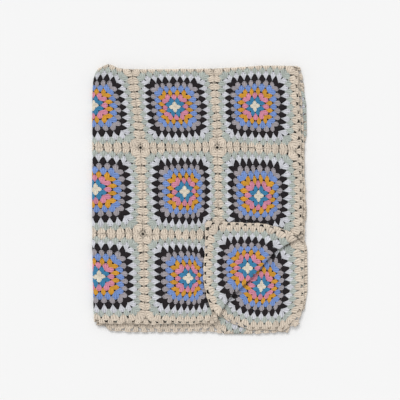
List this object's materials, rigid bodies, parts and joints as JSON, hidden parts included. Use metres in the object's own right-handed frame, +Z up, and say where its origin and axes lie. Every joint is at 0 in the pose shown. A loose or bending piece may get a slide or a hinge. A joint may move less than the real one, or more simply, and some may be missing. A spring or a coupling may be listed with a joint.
{
  "type": "crocheted throw blanket",
  "caption": "Crocheted cotton throw of granny squares with a plain border, folded in quarters with one corner of the top layer turned back.",
  "frame": {"origin": "middle of the bounding box, at the underside that rests on the surface", "axes": "+Z up from the surface, +Y along the longer side towards the top fold, +X across towards the open side"},
  "size_m": [0.6666, 0.8336, 0.0288],
  "materials": {
    "yarn_beige": "matte cotton yarn",
    "yarn_cream": "matte cotton yarn",
    "yarn_teal": "matte cotton yarn",
    "yarn_pink": "matte cotton yarn",
    "yarn_mustard": "matte cotton yarn",
    "yarn_blue": "matte cotton yarn",
    "yarn_grey": "matte cotton yarn",
    "yarn_black": "matte cotton yarn",
    "yarn_ice": "matte cotton yarn",
    "yarn_mint": "matte cotton yarn"
  },
  "bodies": {
    "root": {"throw": "yarn_beige"}
  },
  "joints": []
}
